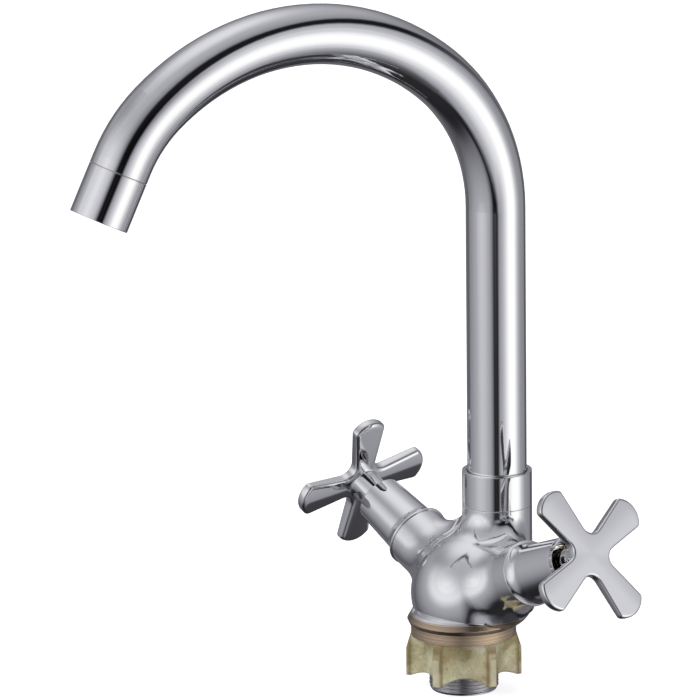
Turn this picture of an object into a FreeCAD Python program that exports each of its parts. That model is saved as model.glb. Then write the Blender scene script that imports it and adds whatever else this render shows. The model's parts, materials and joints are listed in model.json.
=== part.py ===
import FreeCAD
import Part
import math
import os

import Sketcher

# Two handle kitchen faucet, one-hole deck mounting. Millimetres, +Z up.
# The origin is the centre of the seat on the deck, on the shank's axis. The user stands on the -Y side,
# the valves point to +X and -X, and the spout's tower stands behind the shank's axis.

doc = FreeCAD.newDocument("KitchenFaucet")
sheet = doc.addObject("Spreadsheet::Sheet", "Sizes")

SIZES = [
    # base and shank
    ("lip_radius", 22.7, "base lip where it is widest"),
    ("lip_foot_radius", 21.9, "base lip on the deck"),
    ("lip_swell", 1.8, "height of the widest place of the lip"),
    ("lip_height", 5.0, "height of the lip"),
    ("neck_radius", 20.9, "casting where it leaves the lip"),
    ("belly_radius", 25.3, "round belly of the casting, about the crossing of the valve axes"),
    ("shank_radius", 14.0, "M28 x 1.5 shank"),
    ("shank_bore", 11.6, "inner radius of the shank, room for two hoses"),
    ("shank_drop", 27.5, "length of the shank under the deck seat"),
    ("shank_engagement", 8.0, "length of the shank in the casting"),
    ("gasket_inner", 16.4, "base gasket, inner radius"),
    ("gasket_outer", 19.6, "base gasket, outer radius"),
    ("gasket_height", 2.2, "base gasket and its groove"),
    ("clamp_height", 4.6, "turned clamp ring"),
    ("clamp_radius", 21.25, "outer radius of the clamp ring"),
    ("clamp_play", 0.2, "play of the clamp ring round the shank"),
    ("nut_height", 17.2, "cast star nut"),
    ("nut_top_radius", 21.3, "star nut's lobes at the top"),
    ("nut_radius", 23.3, "star nut's lobes at the foot"),
    ("nut_shoulder", 6.5, "height over which the lobes swell"),
    ("nut_dish", 3.6, "hollow of the nut's underside"),
    ("nut_rim", 21.5, "star nut's underside, where its hollow starts"),
    ("flute_radius", 14.9, "concave flute between two lobes"),
    ("flute_floor", 16.6, "distance of a flute's floor from the axis"),
    ("nut_lobes", 6, "number of lobes"),
    ("nut_turn", -38.0, "turn of the star nut, degrees"),
    ("thread_play", 0.1, "play of a thread, drawn plain"),
    # hose inlets and waterways
    ("inlet_radius", 4.46, "M10 x 1 hose inlet, tapping bore"),
    ("inlet_depth", 11.0, "depth of a hose inlet"),
    ("inlet_spread", 5.8, "hose inlet's distance from the middle"),
    ("feed_radius", 3.0, "waterway from the inlet to the valve seat"),
    ("feed_start", 7.0, "start of that waterway along the valve axis"),
    ("mix_radius", 2.2, "waterway from the valve to the tower"),
    ("mix_place", 30.0, "where it leaves the valve, along the valve axis"),
    ("mix_aside", 8.0, "how far behind the valve axis it leaves"),
    # valve arms
    ("valve_tilt", 23.0, "rise of a valve's axis, degrees"),
    ("valve_set_back", 5.3, "valve axes behind the shank's axis"),
    ("valve_height", 11.6, "where both valve axes cross, above the deck"),
    ("port_reach", 39.0, "port face from the crossing, along the axis"),
    ("port_depth", 17.0, "depth of the port down to the valve seat"),
    ("port_bore", 10.3, "G 1/2 port, drawn as its bore"),
    ("arm_radius", 13.0, "valve arm at its port"),
    ("arm_flare", 20.0, "radius of the arm's flare into the belly"),
    ("casting_fillet", 11.0, "fillet between the arms, the belly and the tower"),
    ("crease_angle", 30.0, "creases sharper than this are filleted, degrees"),
    # tower, collar and the spout's foot
    ("tower_set_back", 17.8, "tower's axis behind the shank's axis"),
    ("collar_wall", 1.2, "wall of the collar outside its thread"),
    ("tower_top", 46.2, "shoulder that carries the collar"),
    ("tower_foot", 24.0, "height where the tower's foot rounds off"),
    ("tower_step", 1.5, "how far the tower's bore stays inside the tube's"),
    ("tower_bore_floor", 20.0, "height of the bore's floor"),
    ("collar_height", 14.2, "spout collar"),
    ("collar_room", 0.9, "room between the tube and the thread under the collar"),
    ("collar_lip", 1.6, "thickness of the collar's upper lip"),
    ("collar_gap", 0.45, "recess between the collar and the tube"),
    ("spigot_length", 8.4, "height of the tower's thread"),
    ("washer_height", 1.0, "glide washer"),
    ("washer_play", 0.4, "glide washer round the ferrule"),
    ("split_ring_height", 1.2, "split ring"),
    ("split_ring_slot", 1.6, "slot of the split ring"),
    ("glide_gap", 0.1, "play between the spout and what guides it"),
    ("flange_ledge", 0.6, "ferrule's flange outside the tube"),
    ("flange_height", 1.7, "ferrule's flange"),
    ("ferrule_reach", 19.5, "ferrule below its flange"),
    ("ferrule_wall", 1.55, "wall of the ferrule inside an O-ring's groove"),
    ("ferrule_plug", 8.5, "ferrule inside the tube"),
    ("press_play", 0.02, "play of a pressed or soldered plug"),
    ("spout_running", 0.05, "radial play of the spout's foot in the tower"),
    ("seal_wire", 1.7, "O-ring thickness at the spout's foot"),
    ("seal_groove", 2.2, "width of an O-ring groove"),
    ("seal_pitch", 7.0, "distance between the two O-rings"),
    ("seal_low", 3.6, "lower O-ring above the ferrule's end"),
    # spout
    ("tube_radius", 12.0, "24 mm spout tube"),
    ("tube_wall", 1.0, "wall of the tube"),
    ("rise", 111.8, "straight rise of the tube"),
    ("shoulder_bend", 75.0, "bend radius of the rear shoulder"),
    ("crown_bend", 96.5, "bend radius of the crown"),
    ("shoulder_turn", 50.0, "turn of the rear shoulder, degrees"),
    ("crown_turn", 80.0, "turn of the crown, degrees"),
    ("tip_turn", 24.0, "turn of the front shoulder, degrees"),
    ("tip_bend", 60.5, "bend radius of the front shoulder"),
    ("tip_run", 4.0, "straight end of the tube, round the tip adapter"),
    ("spout_swing", 10.0, "spout's turn from straight ahead, degrees"),
    ("aerator_length", 20.5, "aerator shell"),
    ("aerator_joint", 0.15, "open joint between the tube and the shell"),
    ("aerator_lip", 1.4, "inward lip of the shell"),
    ("aerator_rim", 2.6, "width of the rim round the shell's mouth"),
    ("aerator_wall", 1.05, "wall of the shell round its thread"),
    ("aerator_play", 0.05, "play of the aerator's thread, drawn plain"),
    ("adapter_plug", 3.5, "tip adapter inside the tube"),
    ("adapter_neck", 7.0, "tip adapter's threaded neck"),
    ("adapter_wall", 1.9, "wall of the tip adapter inside its M22 thread"),
    ("aerator_washer_height", 1.2, "aerator's rubber washer"),
    ("jet_rings", 3, "rings of jets in the flow straightener, with the one in the middle"),
    ("jet_step", 6, "jets that each ring has more than the one inside it"),
    ("straightener_hole", 0.95, "radius of a flow straightener's hole"),
    ("straightener_pitch", 3.0, "distance between its holes"),
    ("straightener_plate", 3.0, "thickness of its plate"),
    ("straightener_wall", 1.2, "wall of its cup"),
    # bonnet sleeve over the valve
    ("sleeve_lip_radius", 13.4, "sleeve's lip at the port"),
    ("sleeve_lip_height", 0.9, "sleeve's lip at the port"),
    ("sleeve_waist_radius", 11.1, "sleeve where its flare ends"),
    ("sleeve_waist_height", 5.8, "height of that place above the port"),
    ("sleeve_end_radius", 10.0, "sleeve's outer end"),
    ("sleeve_length", 26.5, "whole sleeve"),
    ("sleeve_hollow", 8.2, "hollow of the sleeve's outer end"),
    ("sleeve_hollow_depth", 8.8, "depth of that hollow"),
    ("sleeve_curl", 6.2, "radius of the curve above the lip"),
    ("sleeve_cone", 3.0, "cone in the sleeve above the hexagon"),
    ("sleeve_step", 2.0, "cone in the sleeve above the flange"),
    # valve inside
    ("headwork_barrel", 9.2, "barrel of the valve housing"),
    ("headwork_chamber", 8.05, "chamber for the ceramic plates"),
    ("headwork_foot", 2.5, "barrel's foot above the valve seat"),
    ("headwork_thread_length", 5.0, "thread of the valve housing"),
    ("headwork_flange_radius", 11.4, "flange of the valve housing"),
    ("headwork_flange_height", 1.0, "flange of the valve housing"),
    ("hex_flats", 16.0, "hexagon across its flats"),
    ("hex_room", 0.25, "room between the hexagon and the sleeve"),
    ("hex_height", 5.0, "height of the hexagon"),
    ("headwork_neck", 7.0, "neck that carries the sleeve"),
    ("headwork_length", 18.0, "valve housing above the port"),
    ("window_width", 8.0, "side window of the barrel"),
    ("window_height", 3.4, "side window of the barrel"),
    ("window_drop", 1.0, "side window below the thread"),
    ("seat_seal_height", 4.0, "rubber seat seal"),
    ("seat_seal_bore", 5.4, "rubber seat seal"),
    ("disc_height", 2.5, "one ceramic plate"),
    ("disc_play", 0.05, "play of the plates in their chamber"),
    ("disc_slide", 0.02, "film between the two ceramic plates"),
    ("disc_window", 2.3, "radius of a plate's window"),
    ("disc_window_offset", 4.4, "window's distance from the axis"),
    ("drive_slot", 3.0, "slot that drives the moving plate"),
    ("drive_depth", 1.2, "depth of that slot"),
    ("drive_play", 0.1, "play of the driving tongue"),
    ("tongue_reach", 6.5, "half length of the driving tongue"),
    ("stem_radius", 5.0, "spindle's stem"),
    ("stem_running", 0.05, "radial play of the stem"),
    ("stem_flange", 2.4, "spindle's driving flange"),
    ("stem_flange_radius", 7.6, "spindle's driving flange"),
    ("spline_radius", 4.4, "splined end of the spindle"),
    ("spline_teeth", 12, "grooves of the spline"),
    ("spline_groove", 0.5, "radius of one groove"),
    ("spline_runout", 2.9, "plain end of the spline at the clip"),
    ("spline_end_gap", 1.0, "room above the spindle's end in the hub"),
    ("clip_height", 0.9, "spindle clip"),
    ("clip_inner", 4.2, "spindle clip, inner radius"),
    ("clip_outer", 6.2, "spindle clip, outer radius"),
    ("clip_play", 0.1, "play of the clip over the neck"),
    ("stem_seal_wire", 1.5, "O-ring in the spindle's groove"),
    ("stem_seal_place", 12.0, "that O-ring above the port"),
    ("stem_seal_groove", 1.9, "width of that O-ring's groove"),
    # cross handles
    ("handle_reach", 42.8, "cross's face from the port, along the axis"),
    ("blade_thickness", 5.0, "thickness of the cross"),
    ("blade_reach", 30.5, "radius over the blades' ends"),
    ("blade_root", 3.5, "half width of a blade at the axis"),
    ("blade_end", 7.25, "half width of a blade at its end"),
    ("blade_end_bend", 9.4, "radius of a blade's rounded end"),
    ("blade_crotch", 4.5, "radius between two blades"),
    ("blade_count", 4, "number of blades"),
    ("blade_edge", 1.0, "rounded edges of the cross"),
    ("right_turn", 29.0, "turn of the right cross, degrees"),
    ("left_turn", -98.0, "turn of the left cross, degrees"),
    ("hub_radius", 6.5, "hub behind the cross"),
    ("hub_gap", 0.9, "room between the spindle clip and the hub"),
    ("hub_roof", 2.5, "solid hub between its bore and the cross"),
    ("hub_bore_play", 0.05, "play of the hub on the spline"),
    ("screw_radius", 2.0, "M4 grub screw"),
    ("screw_place", 6.0, "grub screw's axis behind the cross"),
    ("socket_flats", 2.0, "hexagon socket of the screw, across its flats"),
    ("socket_depth", 1.0, "depth of that socket"),
    ("screw_sink", 0.3, "how deep the grub screw is sunk"),
]

for row, (alias, number, meaning) in enumerate(SIZES, start=1):
    sheet.set("A%d" % row, meaning)
    sheet.set("B%d" % row, str(number))
    sheet.setAlias("B%d" % row, alias)
doc.recompute()


def size(alias):
    return float(sheet.get(alias))


# ---------------------------------------------------------------- helpers

Y_AXIS = FreeCAD.Vector(0, 1, 0)
Z_AXIS = FreeCAD.Vector(0, 0, 1)
FULL_TURN = 360.0
QUARTER_TURN = 90.0
LEFT_IN_BORE = 0.01  # mm3 of material that still counts as an open bore
NODES = []


def new_body(name, is_node=True):
    """An empty body. A node is a body that is written out as a piece of its own."""
    body = doc.addObject("PartDesign::Body", name)
    body.Label = name
    if is_node:
        NODES.append(body)
    return body


def origin_of(body, role):
    for feature in body.Origin.OriginFeatures:
        if feature.Role == role:
            return feature
    raise ValueError(role)


def sketch_on(body, role, name, lift=None):
    """A sketch on one of the body's own planes, raised by an expression if one is given."""
    sketch = body.newObject("Sketcher::SketchObject", name)
    sketch.AttachmentSupport = [(origin_of(body, role), "")]
    sketch.MapMode = "FlatFace"
    sketch.Visibility = False
    if lift:
        sketch.setExpression("AttachmentOffset.Base.z", lift)
    return sketch


def pin_point(sketch, element, vertex, across, up):
    """Holds a sketch vertex at two expressions, measured from the sketch's origin."""
    for kind, axis, expression in (("DistanceX", -2, across), ("DistanceY", -1, up)):
        if expression == "0":
            sketch.addConstraint(Sketcher.Constraint("PointOnObject", element, vertex, axis))
        else:
            index = sketch.addConstraint(Sketcher.Constraint(kind, -1, 1, element, vertex, 1.0))
            sketch.setExpression("Constraints[%d]" % index, expression)


def outline(sketch, corners, bends=None, closed=True):
    """Joins corners with sides. bends gives a radius and a direction for each side that is an arc,
    by the number of the corner that it starts from: +1 bulges to the right of the way, -1 to the left."""
    bends = bends or {}
    pins = []
    for across, up in corners:
        pin = sketch.addGeometry(Part.Point(FreeCAD.Vector(1, 1, 0)), True)
        pin_point(sketch, pin, 1, across, up)
        pins.append(pin)
    doc.recompute()
    places = [FreeCAD.Vector(sketch.Geometry[pin].X, sketch.Geometry[pin].Y, 0) for pin in pins]
    sides = len(pins) if closed else len(pins) - 1
    for index in range(sides):
        start = places[index]
        end = places[(index + 1) % len(pins)]
        start_vertex, end_vertex = 1, 2
        if index in bends:
            radius_expression, bulge = bends[index]
            radius = float(sketch.evalExpression(radius_expression))
            chord = end - start
            sagitta = radius - math.sqrt(radius ** 2 - chord.Length ** 2 / 4)
            outward = FreeCAD.Vector(chord.y, -chord.x, 0) / chord.Length
            middle = (start + end) / 2 + outward * sagitta * bulge
            side = sketch.addGeometry(Part.Arc(start, middle, end))
            if bulge < 0:
                start_vertex, end_vertex = 2, 1
            bound = sketch.addConstraint(Sketcher.Constraint("Radius", side, radius))
            sketch.setExpression("Constraints[%d]" % bound, radius_expression)
        else:
            side = sketch.addGeometry(Part.LineSegment(start, end))
        ends = ((start_vertex, pins[index]), (end_vertex, pins[(index + 1) % len(pins)]))
        for vertex, pin in ends:
            sketch.addConstraint(Sketcher.Constraint("Coincident", side, vertex, pin, 1))


def hexagon(sketch, flats, up="0"):
    """A hexagon with two of its corners straight above and below its middle."""
    corner = flats + " / 2 / cos(30)"
    outline(sketch, [
        ("0", up + " - " + corner),
        (flats + " / 2", up + " - " + corner + " / 2"),
        (flats + " / 2", up + " + " + corner + " / 2"),
        ("0", up + " + " + corner),
        ("-" + flats + " / 2", up + " + " + corner + " / 2"),
        ("-" + flats + " / 2", up + " - " + corner + " / 2"),
    ])


def circle(sketch, radius, across="0", up="0"):
    ring = sketch.addGeometry(Part.Circle(FreeCAD.Vector(0, 0, 0), Z_AXIS, 1.0))
    pin_point(sketch, ring, 3, across, up)
    bound = sketch.addConstraint(Sketcher.Constraint("Radius", ring, 1.0))
    sketch.setExpression("Constraints[%d]" % bound, radius)


def revolve(body, sketch, name, cut=False):
    kind = "PartDesign::Groove" if cut else "PartDesign::Revolution"
    feature = body.newObject(kind, name)
    feature.Profile = sketch
    feature.ReferenceAxis = (sketch, ["V_Axis"])
    feature.Angle = FULL_TURN
    return feature


def turned(name, corners, bends=None, is_node=True):
    """A turned piece: an outline in radius and height, revolved about its own Z axis."""
    body = new_body(name, is_node)
    sketch = sketch_on(body, "XZ_Plane", name + "_profile")
    outline(sketch, corners, bends)
    revolve(body, sketch, name + "_turned")
    return body


def grooved(body, name, corners):
    sketch = sketch_on(body, "XZ_Plane", name + "_profile")
    outline(sketch, corners)
    return revolve(body, sketch, name, cut=True)


def ring_outline(inner, outer, low, high):
    return [(inner, low), (outer, low), (outer, high), (inner, high)]


def wire_ring(name, ring_radius, wire_radius, height):
    """A rubber O-ring."""
    body = new_body(name)
    sketch = sketch_on(body, "XZ_Plane", name + "_wire")
    circle(sketch, wire_radius, ring_radius, height)
    revolve(body, sketch, name + "_turned")
    return body


def pad(body, sketch, length, name):
    feature = body.newObject("PartDesign::Pad", name)
    feature.Profile = sketch
    feature.setExpression("Length", length)
    return feature


def pocket(body, sketch, length, name, upward=False):
    """Cuts a sketch away, downward from its plane, or upward."""
    feature = body.newObject("PartDesign::Pocket", name)
    feature.Profile = sketch
    feature.setExpression("Length", length)
    feature.Reversed = upward
    return feature


def polar(body, features, count, name):
    pattern = body.newObject("PartDesign::PolarPattern", name)
    pattern.Originals = features
    pattern.Axis = (origin_of(body, "Z_Axis"), [""])
    pattern.Angle = FULL_TURN
    pattern.setExpression("Occurrences", count)
    body.Tip = pattern
    return pattern


def fillet(body, edges, radius, name):
    base = body.Tip
    feature = body.newObject("PartDesign::Fillet", name)
    feature.Base = (base, ["Edge%d" % number for number in edges])
    feature.setExpression("Radius", radius)
    body.Tip = feature
    return feature


def rod(name, radius, height, placement):
    """A plain cylinder, used where a bore is cut."""
    solid = doc.addObject("Part::Cylinder", name)
    solid.setExpression("Radius", radius)
    solid.setExpression("Height", height)
    solid.Placement = placement
    return solid


def rod_between(name, radius, start, end):
    solid = doc.addObject("Part::Cylinder", name)
    solid.setExpression("Radius", radius)
    solid.Height = (end - start).Length
    solid.Placement = FreeCAD.Placement(start, FreeCAD.Rotation(Z_AXIS, end - start))
    return solid


def fused(name, pieces, refine=True):
    union = doc.addObject("Part::MultiFuse", name)
    union.Shapes = pieces
    union.Refine = refine
    return union


def upright(x, y, z):
    return FreeCAD.Placement(FreeCAD.Vector(x, y, z), FreeCAD.Rotation())


def creases(shape, low, high, limit):
    """Numbers of the edges between two heights where the surface turns by more than limit degrees."""
    found = []
    for number, edge in enumerate(shape.Edges, start=1):
        faces = shape.ancestorsOfType(edge, Part.Face)
        point = edge.valueAt((edge.FirstParameter + edge.LastParameter) / 2)
        if len(faces) != 2 or not low < point.z < high:
            continue
        normals = [face.normalAt(*face.Surface.parameter(point)) for face in faces]
        if math.degrees(normals[0].getAngle(normals[1])) > limit:
            found.append(number)
    return found


# ---------------------------------------------------------------- frames

LEFT, RIGHT = -1, 1
SIDES = ((LEFT, "left"), (RIGHT, "right"))


def valve_frame(side, roll=0.0):
    """Z runs outward along the valve's axis from the place where both axes cross."""
    crossing = FreeCAD.Vector(0, size("valve_set_back"), size("valve_height"))
    tilt = FreeCAD.Rotation(Y_AXIS, side * (QUARTER_TURN - size("valve_tilt")))
    return FreeCAD.Placement(crossing, tilt * FreeCAD.Rotation(Z_AXIS, roll))


def spout_frame():
    """Z is the tower's axis, and X points where the spout points."""
    heading = FreeCAD.Rotation(Z_AXIS, -QUARTER_TURN - size("spout_swing"))
    return FreeCAD.Placement(FreeCAD.Vector(0, size("tower_set_back"), 0), heading)


# Heights of the stack on the tower.
NECK_TOP = "(Sizes.tower_top + Sizes.spigot_length)"
WASHER_TOP = "(" + NECK_TOP + " + Sizes.washer_height)"
FLANGE_LOW = "(" + WASHER_TOP + " + Sizes.glide_gap)"
FLANGE_TOP = "(" + FLANGE_LOW + " + Sizes.flange_height)"
SPLIT_LOW = "(" + FLANGE_TOP + " + Sizes.glide_gap)"
COLLAR_TOP = "(Sizes.tower_top + Sizes.collar_height)"

# Radii round the tube.
TUBE_BORE = "(Sizes.tube_radius - Sizes.tube_wall)"
TOWER_BORE = "(" + TUBE_BORE + " - Sizes.tower_step)"
COLLAR_THREAD = "(Sizes.tube_radius + Sizes.collar_room)"
TOWER_RADIUS = "(" + COLLAR_THREAD + " + Sizes.collar_wall)"
FLANGE_RADIUS = "(Sizes.tube_radius + Sizes.flange_ledge)"

# ---------------------------------------------------------------- casting

lip = turned("lip", [
    ("0", "0"),
    ("Sizes.lip_foot_radius", "0"),
    ("Sizes.lip_radius", "Sizes.lip_swell"),
    ("Sizes.neck_radius", "Sizes.lip_height"),
    ("0", "Sizes.lip_height"),
], is_node=False)

BELLY_LOW = "(Sizes.lip_height - Sizes.valve_height)"
belly = turned("belly", [
    ("0", BELLY_LOW),
    ("sqrt(Sizes.belly_radius ^ 2 - " + BELLY_LOW + " ^ 2)", BELLY_LOW),
    ("0", "Sizes.belly_radius"),
], {1: ("Sizes.belly_radius", 1)}, is_node=False)
belly.Placement = upright(0, size("valve_set_back"), size("valve_height"))

# An arm's flare touches the belly on one side and the arm on the other.
FLARE_FAR = "sqrt((Sizes.belly_radius + Sizes.arm_flare) ^ 2 - (Sizes.arm_radius + Sizes.arm_flare) ^ 2)"
BELLY_SHARE = "Sizes.belly_radius / (Sizes.belly_radius + Sizes.arm_flare)"
arms = []
for side, side_name in SIDES:
    arm = turned(side_name + "_arm", [
        ("0", "0"),
        ("(Sizes.arm_radius + Sizes.arm_flare) * " + BELLY_SHARE, FLARE_FAR + " * " + BELLY_SHARE),
        ("Sizes.arm_radius", FLARE_FAR),
        ("Sizes.arm_radius", "Sizes.port_reach"),
        ("0", "Sizes.port_reach"),
    ], {1: ("Sizes.arm_flare", -1)}, is_node=False)
    arm.Placement = valve_frame(side)
    arms.append(arm)

tower = turned("tower", [
    ("0", "Sizes.tower_foot - " + TOWER_RADIUS),
    (TOWER_RADIUS, "Sizes.tower_foot"),
    (TOWER_RADIUS, "Sizes.tower_top"),
    ("0", "Sizes.tower_top"),
], {0: (TOWER_RADIUS, 1)}, is_node=False)
tower.Placement = upright(0, size("tower_set_back"), 0)

joined = fused("joined_casting", [belly] + arms + [tower])
doc.recompute()

blended = doc.addObject("Part::Fillet", "blended_casting")
blended.Base = joined
blend = size("casting_fillet")
crease_low = size("lip_height") + 1
crease_high = size("tower_top") - 1
inner_reach = size("port_reach") * math.cos(math.radians(size("valve_tilt"))) - size("arm_radius")
blended.Edges = [(number, blend, blend)
                 for number in creases(joined.Shape, crease_low, crease_high, size("crease_angle"))
                 if abs(joined.Shape.Edges[number - 1].CenterOfMass.x) < inner_reach]

neck = rod("tower_neck", COLLAR_THREAD, "Sizes.spigot_length + 1",
           upright(0, size("tower_set_back"), size("tower_top") - 1))
outside = fused("casting_outside", [lip, blended, neck])

# What is bored out of the casting.
bores = [
    rod("shank_recess", "Sizes.shank_radius + Sizes.thread_play", "Sizes.shank_engagement", upright(0, 0, 0)),
    turned("gasket_groove",
           ring_outline("Sizes.gasket_inner", "Sizes.gasket_outer", "0", "Sizes.gasket_height"), is_node=False),
    rod("tower_bore", TOWER_BORE, "Sizes.tower_top + Sizes.spigot_length - Sizes.tower_bore_floor",
        upright(0, size("tower_set_back"), size("tower_bore_floor"))),
]
for side, side_name in SIDES:
    frame = valve_frame(side)
    seat = size("port_reach") - size("port_depth")
    port_start = frame * upright(0, 0, seat)
    feed_start = frame * upright(0, 0, size("feed_start"))
    mix_end = frame.multVec(FreeCAD.Vector(0, size("mix_aside"), size("mix_place")))
    mix_start = FreeCAD.Vector(0, size("tower_set_back"), size("tower_bore_floor") + size("mix_radius"))
    bores += [
        rod(side_name + "_inlet", "Sizes.inlet_radius", "Sizes.inlet_depth",
            upright(side * size("inlet_spread"), 0, size("shank_engagement"))),
        rod(side_name + "_port", "Sizes.port_bore", "Sizes.port_depth", port_start),
        rod(side_name + "_feed", "Sizes.feed_radius",
            "Sizes.port_reach - Sizes.port_depth - Sizes.feed_start", feed_start),
        rod_between(side_name + "_mix", "Sizes.mix_radius", mix_start, mix_end),
    ]

casting = doc.addObject("Part::Cut", "faucet_body")
casting.Base = outside
casting.Tool = fused("casting_bores", bores, refine=False)
casting.Label = "faucet_body"
doc.recompute()
NODES.append(casting)

# ---------------------------------------------------------------- under the deck

turned("threaded_shank", ring_outline("Sizes.shank_bore", "Sizes.shank_radius",
                                      "-Sizes.shank_drop", "Sizes.shank_engagement"))

turned("base_gasket", ring_outline("Sizes.gasket_inner", "Sizes.gasket_outer", "0", "Sizes.gasket_height"))

turned("clamp_ring", ring_outline("Sizes.shank_radius + Sizes.clamp_play", "Sizes.clamp_radius",
                                  "-Sizes.clamp_height", "0"))

NUT_LOW = "-(Sizes.clamp_height + Sizes.nut_height)"
star_nut = turned("star_nut", [
    ("Sizes.shank_radius + Sizes.thread_play", "-Sizes.clamp_height"),
    ("Sizes.nut_top_radius", "-Sizes.clamp_height"),
    ("Sizes.nut_radius", "-(Sizes.clamp_height + Sizes.nut_shoulder)"),
    ("Sizes.nut_radius", NUT_LOW),
    ("Sizes.nut_rim", NUT_LOW),
    ("Sizes.shank_radius + Sizes.thread_play", NUT_LOW + " + Sizes.nut_dish"),
])
flute_sketch = sketch_on(star_nut, "XY_Plane", "flute_section")
circle(flute_sketch, "Sizes.flute_radius", "Sizes.flute_floor + Sizes.flute_radius")
flute = pocket(star_nut, flute_sketch, "Sizes.clamp_height + Sizes.nut_height", "flute")
polar(star_nut, [flute], "Sizes.nut_lobes", "flutes")
star_nut.Placement = FreeCAD.Placement(FreeCAD.Vector(), FreeCAD.Rotation(Z_AXIS, size("nut_turn")))

# ---------------------------------------------------------------- collar and the spout's foot

spout_collar = turned("spout_collar", [
    (COLLAR_THREAD + " + Sizes.thread_play", "Sizes.tower_top"),
    (TOWER_RADIUS, "Sizes.tower_top"),
    (TOWER_RADIUS, COLLAR_TOP),
    ("Sizes.tube_radius + Sizes.collar_gap", COLLAR_TOP),
    ("Sizes.tube_radius + Sizes.collar_gap", COLLAR_TOP + " - Sizes.collar_lip"),
    (COLLAR_THREAD + " + Sizes.thread_play", COLLAR_TOP + " - Sizes.collar_lip"),
])

glide_washer = turned("glide_washer", ring_outline(TOWER_BORE + " + Sizes.washer_play", FLANGE_RADIUS,
                                                   NECK_TOP, WASHER_TOP))

split_ring = turned("split_ring", ring_outline("Sizes.tube_radius + Sizes.spout_running",
                                               COLLAR_THREAD + " - Sizes.spout_running",
                                               SPLIT_LOW, SPLIT_LOW + " + Sizes.split_ring_height"))
slot_sketch = sketch_on(split_ring, "XY_Plane", "split_slot", SPLIT_LOW)
outline(slot_sketch, ring_outline("0", TOWER_RADIUS, "-Sizes.split_ring_slot / 2",
                                  "Sizes.split_ring_slot / 2"))
pocket(split_ring, slot_sketch, "Sizes.split_ring_height", "split", upward=True)

SEAL_FLOOR = "(" + TOWER_BORE + " - Sizes.spout_running - Sizes.seal_wire)"
FERRULE_BORE = "(" + SEAL_FLOOR + " - Sizes.ferrule_wall)"
spout_ferrule = turned("spout_ferrule", [
    (FERRULE_BORE, FLANGE_LOW + " - Sizes.ferrule_reach"),
    (TOWER_BORE + " - Sizes.spout_running", FLANGE_LOW + " - Sizes.ferrule_reach"),
    (TOWER_BORE + " - Sizes.spout_running", FLANGE_LOW),
    (FLANGE_RADIUS, FLANGE_LOW),
    (FLANGE_RADIUS, FLANGE_TOP),
    (TUBE_BORE + " - Sizes.press_play", FLANGE_TOP),
    (TUBE_BORE + " - Sizes.press_play", FLANGE_TOP + " + Sizes.ferrule_plug"),
    (FERRULE_BORE, FLANGE_TOP + " + Sizes.ferrule_plug"),
])
LOW_SEAL = "(" + FLANGE_LOW + " - Sizes.ferrule_reach + Sizes.seal_low)"
HIGH_SEAL = "(" + LOW_SEAL + " + Sizes.seal_pitch)"
for seal_name, seal_height in (("low_groove", LOW_SEAL), ("high_groove", HIGH_SEAL)):
    grooved(spout_ferrule, seal_name, ring_outline(SEAL_FLOOR, TOWER_BORE,
                                                   seal_height + " - Sizes.seal_groove / 2",
                                                   seal_height + " + Sizes.seal_groove / 2"))

# Two O-rings of one size share a node.
spout_seals = new_body("spout_seals")
for seal_name, seal_height in (("low_seal", LOW_SEAL), ("high_seal", HIGH_SEAL)):
    seal_sketch = sketch_on(spout_seals, "XZ_Plane", seal_name + "_wire")
    circle(seal_sketch, "Sizes.seal_wire / 2", SEAL_FLOOR + " + Sizes.seal_wire / 2", seal_height)
    revolve(spout_seals, seal_sketch, seal_name)

# ---------------------------------------------------------------- spout

TURN_1 = "Sizes.shoulder_turn"
TURN_2 = "(Sizes.shoulder_turn + Sizes.crown_turn)"
TURN_3 = "(Sizes.shoulder_turn + Sizes.crown_turn + Sizes.tip_turn)"
SPRING = "(" + FLANGE_TOP + " + Sizes.rise)"
OUT_1 = "Sizes.shoulder_bend * (1 - cos(" + TURN_1 + "))"
UP_1 = "Sizes.shoulder_bend * sin(" + TURN_1 + ")"
OUT_2 = OUT_1 + " + Sizes.crown_bend * (cos(" + TURN_1 + ") - cos(" + TURN_2 + "))"
UP_2 = UP_1 + " + Sizes.crown_bend * (sin(" + TURN_2 + ") - sin(" + TURN_1 + "))"
OUT_3 = OUT_2 + " + Sizes.tip_bend * (cos(" + TURN_2 + ") - cos(" + TURN_3 + "))"
UP_3 = UP_2 + " + Sizes.tip_bend * (sin(" + TURN_3 + ") - sin(" + TURN_2 + "))"
OUT_END = OUT_3 + " + Sizes.tip_run * sin(" + TURN_3 + ")"
UP_END = UP_3 + " + Sizes.tip_run * cos(" + TURN_3 + ")"

spout_tube = new_body("spout_tube")
route = sketch_on(spout_tube, "XZ_Plane", "spout_route")
outline(route, [
    ("0", FLANGE_TOP),
    ("0", SPRING),
    (OUT_1, SPRING + " + " + UP_1),
    (OUT_2, SPRING + " + " + UP_2),
    (OUT_3, SPRING + " + " + UP_3),
    (OUT_END, SPRING + " + " + UP_END),
], {1: ("Sizes.shoulder_bend", -1), 2: ("Sizes.crown_bend", -1), 3: ("Sizes.tip_bend", -1)}, closed=False)
section = sketch_on(spout_tube, "XY_Plane", "tube_section", FLANGE_TOP)
circle(section, "Sizes.tube_radius")
circle(section, TUBE_BORE)
bent_tube = spout_tube.newObject("PartDesign::AdditivePipe", "bent_tube")
bent_tube.Profile = section
bent_tube.Spine = route
spout_tube.Placement = spout_frame()
doc.recompute()

for body in (spout_ferrule, spout_seals, spout_collar, glide_washer, split_ring):
    body.Placement = spout_frame()

# ---------------------------------------------------------------- aerator

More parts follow.
